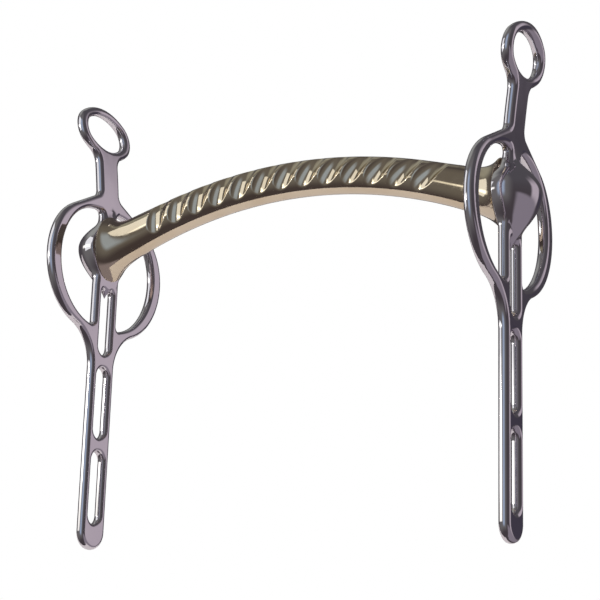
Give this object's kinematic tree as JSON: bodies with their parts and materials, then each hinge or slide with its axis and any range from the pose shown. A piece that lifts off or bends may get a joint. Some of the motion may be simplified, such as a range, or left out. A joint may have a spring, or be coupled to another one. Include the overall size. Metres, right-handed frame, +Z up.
{
  "type": "curb bit",
  "caption": "Driving bit with an arched, corrugated mouthpiece fixed between two flat cheeks that have an oval eye, a ring-like wing front and rear, and rein slots down the shank.",
  "frame": {"origin": "midway between the centres of the two eyes, where the headstall holds the bit up", "axes": "+X along the mouthpiece from the left cheek to the right cheek, +Y from the corrugated front to the smooth back, +Z up the cheeks from the shank tips to the eyes"},
  "size_m": [0.1674, 0.0598, 0.1536],
  "materials": {
    "polished_steel": "mirror-polished stainless steel",
    "bronze_alloy": "polished, slightly dull golden bronze alloy"
  },
  "bodies": {
    "root": {"left_cheek": "polished_steel", "right_cheek": "polished_steel", "mouthpiece": "bronze_alloy"}
  },
  "joints": []
}
